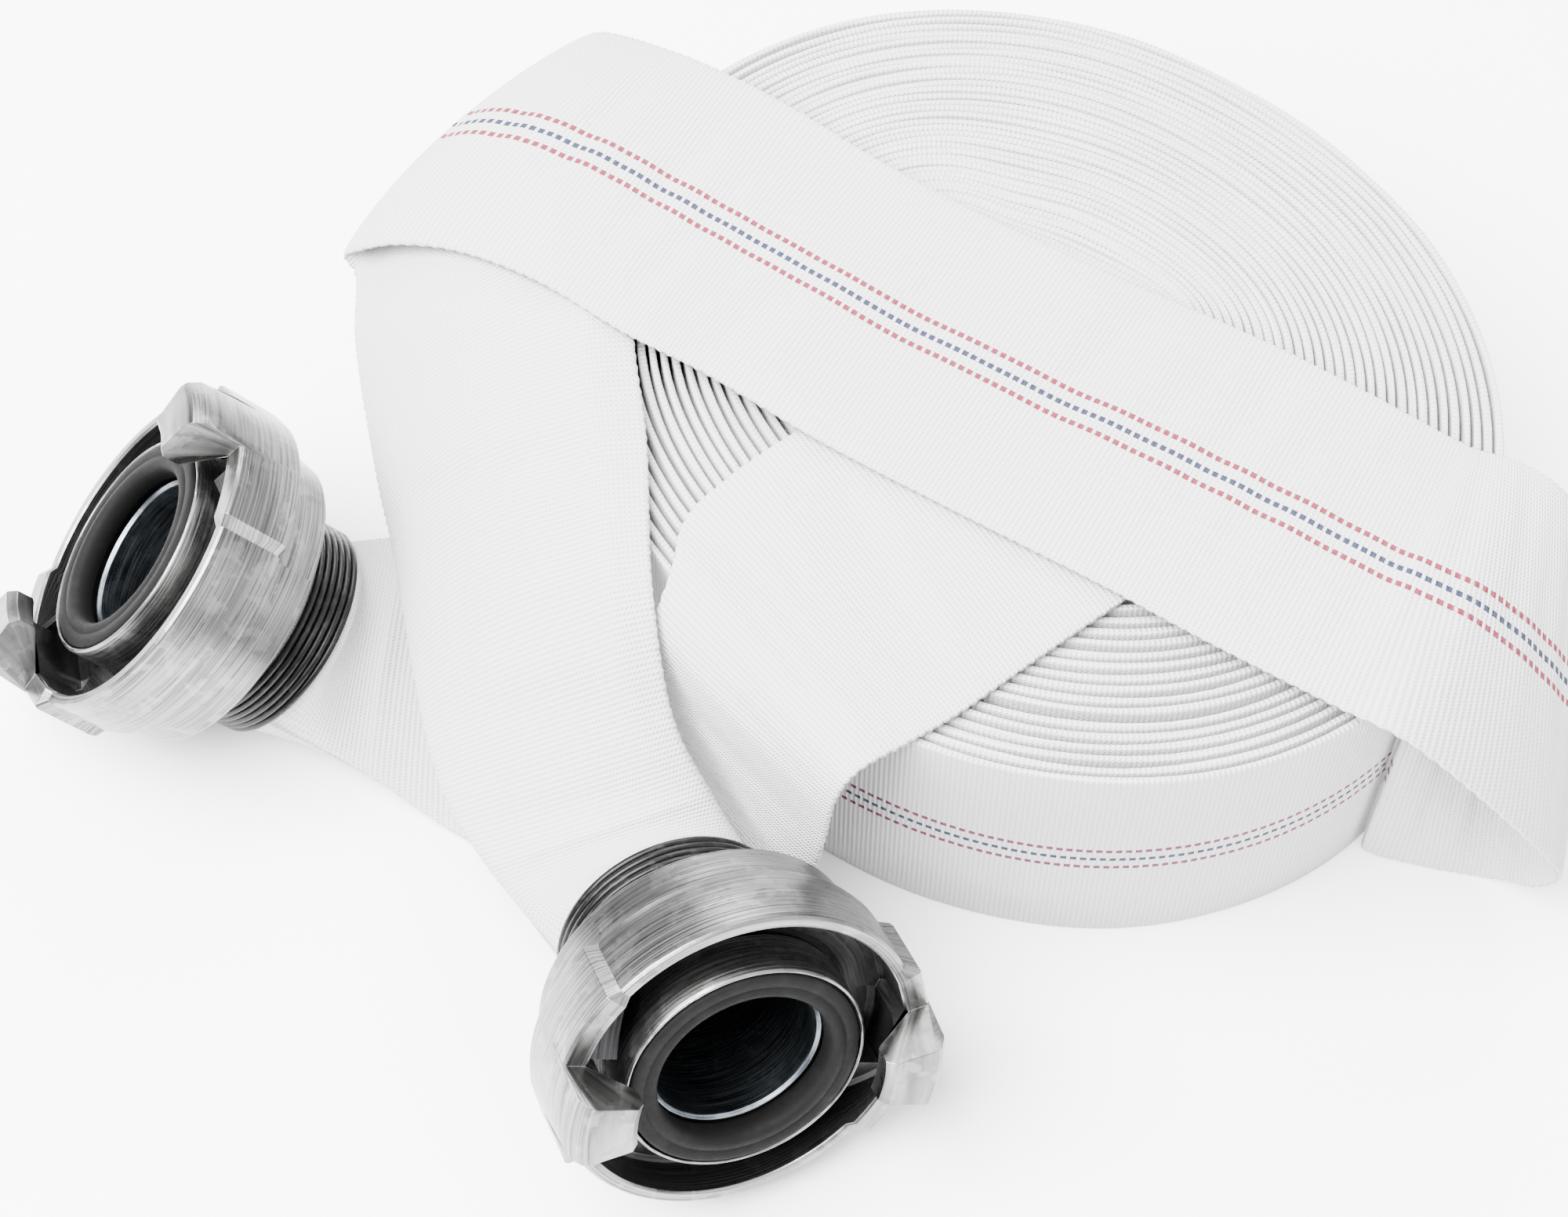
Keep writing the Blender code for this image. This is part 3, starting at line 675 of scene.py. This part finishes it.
def layer_points(azimuth, layer, turned):
    """Place of a layer's middle line: the outer oval moved in by its depth, towards the folded core.

    Depth grows evenly for the outer layers and takes up the slack near the core, where the line follows a
    long narrow ellipse with a dent on its far side."""
    c, s = np.cos(azimuth), np.sin(azimuth)
    outer = np.stack([c, s], -1) * outer_radius(azimuth)[..., None]
    t = azimuth - CORE_TURN
    e, f = CORE_HALF[0] * np.cos(t), CORE_HALF[1] * np.sin(t)
    turn_c, turn_s = math.cos(CORE_TURN), math.sin(CORE_TURN)
    core = np.stack([e * turn_c - f * turn_s, e * turn_s + f * turn_c], -1) + CORE_CENTRE
    span = np.linalg.norm(outer - core, axis=-1)
    inward = (core - outer) / span[..., None]
    part = np.clip(layer / LAYERS, 0, 1)
    pitch = np.minimum(span / LAYERS, LAYER_PITCH)
    even = layer * pitch
    slack = (span - LAYERS * pitch) * part**3
    open_one = (0.5 + 1.3 * near(azimuth, BACK_SLACK, 0.7)) * MM * np.clip(layer - 1.2, 0, 1)
    open_two = (0.3 + 0.9 * near(azimuth, FRONT_SLACK, 0.9)) * MM * np.clip(layer - 5.2, 0, 1)
    depth = even + slack + (open_one + open_two) * (1 - part) + FIRST_DEPTH
    dent = 8 * MM * near(azimuth, DENT_AT, 0.33)
    depth = depth + dent * np.clip((part - 0.35) / 0.65, 0, 1) ** 1.3 * (1 - part) * 2.2
    make_up = 2 * pitch * np.clip(np.minimum(turned / 0.8, (1 - turned) / 0.2), 0, 1) * (1 - part) ** 2
    depth = np.maximum(depth - make_up, FIRST_DEPTH)
    return outer + inward * depth[..., None]


def rolled_hose():
    """One long flat hose: in along the outer strand, round a small loop, and out along the inner strand.

    Its section is a thin upright sheet with a rounded upper edge, and its height varies a little by a sum of
    three sines along its length, and its thickness near both edges by one more. The striped face is outside
    on the outer strand."""
    step = math.radians(3)
    turns = np.arange(0, (LAYERS - FOLD_BEFORE) * math.pi, step)
    azimuth = LEAVES_AT - turns
    turned = (turns / (2 * math.pi)) % 1
    layer = turns / math.pi
    going_in = layer_points(azimuth, layer, turned)
    coming_out = layer_points(azimuth, layer + 1, turned)[::-1]
    a, b = going_in[-1], coming_out[0]
    ahead = unit(going_in[-1] - going_in[-4])
    size = 3 * MM
    out = np.array([ahead[1], -ahead[0]])
    loop = np.array([
        a,
        a + (ahead - 0.1 * out) * size,
        a + (1.8 * ahead + 0.2 * out) * size,
        (a + b) / 2 + 2.2 * ahead * size,
        b + (1.8 * ahead - 0.2 * out) * size,
        b + (ahead + 0.1 * out) * size,
        b,
    ])
    line = np.vstack([going_in[:-1], smooth_rows(loop, 8)[:-1], coming_out])
    ways = unit(np.gradient(line, axis=0))
    side = np.stack([ways[:, 1], -ways[:, 0]], -1)
    along = lengths_along(line)
    rows = len(line)
    wobble = sum(
        np.sin(2 * math.pi * along / size_of + k) * much
        for k, (size_of, much) in enumerate(((0.31, 0.28), (0.083, 0.16), (0.047, 0.10)))
    ) * MM
    half = HALF_LAYER
    low, top = 0.6 * MM, HOSE_WIDTH - 1.2 * MM
    bend = np.linspace(0, math.pi, 7)
    heights = [np.full(rows, z) for z in (low, 20 * MM, 42.5 * MM, 62 * MM)]
    section_x = [-half] * 4
    section_z = list(heights)
    for angle in bend:
        section_x.append(-half * math.cos(angle))
        groove = 0.35 * MM * math.exp(-((angle - math.pi / 2) / 0.35) ** 2)
        section_z.append(top + wobble + 1.2 * MM * math.sin(angle) - groove)
    for height in heights[::-1]:
        section_x.append(half)
        section_z.append(height)
    x, z = np.array(section_x)[None, :], np.array(section_z).T
    swell = 1 + 0.12 * np.sin(2 * math.pi * along / 0.061)[:, None] * (np.abs(z - 42.5 * MM) > 30 * MM)
    flat = line[:, None, :] + side[:, None, :] * (x * swell)[..., None]
    points = np.concatenate([flat, z[..., None]], -1)
    across = np.where(x < 0, z - HOSE_WIDTH / 2, 1.5 * HOSE_WIDTH - z)
    across = np.concatenate([across, across[:, -1:]], axis=1)
    obj = grid_mesh("rolled_hose", points, (along[:, None], across), (roll_cloth,))
    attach(obj, "hose")
    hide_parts("hose_roll", "hose_middle_fold", "hose_loose_turn")


# ---------------------------------------------------------------- stage
PANELS = 5
ROOM_LIGHT = 2.6
CAMERA_PLACE = (-0.0658, -0.4809, 0.7952)
CAMERA_TILT = math.radians(29.9)  # from straight down


def build_stage():
    """A pale floor, three soft lamps, and a room with a white ceiling and five light panels on a dark wall.

    The panels follow the sine of five times the azimuth."""
    bpy.ops.mesh.primitive_plane_add(size=30, location=(0, 0, -0.0002))
    floor = bpy.context.object
    floor.name = "floor"
    made = Finish("pale_floor", Roughness=0.9)
    tone = made.noise(2.0, 2)
    floor.data.materials.append(made.set(Base_Color=tone.blend((0.93, 0.93, 0.93), (0.95, 0.95, 0.95))))
    world = bpy.data.worlds.new("studio")
    world.use_nodes = True
    start = Flow(world.node_tree, None)
    way = start.node("ShaderNodeTexCoord", output="Generated")
    parts = start.node("ShaderNodeSeparateXYZ", (), {"Vector": way}).socket.node
    x, y, z = (Flow(world.node_tree, parts.outputs[k]) for k in range(3))
    panels = x.maths("ARCTAN2", y, x).wave(2 * math.pi / PANELS).ease(-0.5, 0.5)
    sky = (panels * 0.55 + z.ease(0.35, 0.8)).ease(0, 1).blend((0.10, 0.10, 0.11), (1, 1, 1))
    background = world.node_tree.nodes["Background"]
    world.node_tree.links.new(sky.socket, background.inputs[0])
    background.inputs[1].default_value = ROOM_LIGHT
    bpy.context.scene.world = world
    lights = (
        ("key", (-0.9, -0.3, 1.7), 1.6, 330),
        ("fill", (1.4, -1.0, 1.1), 1.6, 30),
        ("back", (0.3, 1.6, 1.4), 1.4, 90),
    )
    for name, place, size, power in lights:
        data = bpy.data.lights.new(name, "AREA")
        data.size = size
        data.energy = power
        lamp = bpy.data.objects.new(name, data)
        lamp.location = place
        direction = np.array([0, 0, 0.04]) - np.array(place)
        yaw = math.atan2(direction[1], direction[0])
        pitch = math.atan2(math.hypot(direction[0], direction[1]), -direction[2])
        lamp.rotation_euler = (pitch, 0, yaw - math.pi / 2)
        bpy.context.collection.objects.link(lamp)


def build_camera():
    data = bpy.data.cameras.new("camera")
    data.lens = 75
    data.sensor_width = 36
    camera = bpy.data.objects.new("camera", data)
    camera.location = CAMERA_PLACE
    camera.rotation_euler = (CAMERA_TILT, 0, 0)
    bpy.context.collection.objects.link(camera)
    bpy.context.scene.camera = camera


build_camera()
build_stage()
front_axis, front_pieces = build_coupling("front", FRONT_COUPLING, "front_ring")
left_axis = build_coupling("left", LEFT_COUPLING, "left_ring")[0]
front_end, front_line = free_end(
    "front_free_end", "hose_end_front", FRONT_ROUTE, front_axis, sign=-1, striped=-1, ridge=1.8 * MM, seed=3
)
free_end("left_free_end", "hose_end_left", LEFT_ROUTE, left_axis, sign=1, striped=1, ridge=0.6 * MM, seed=5)
rolled_hose()
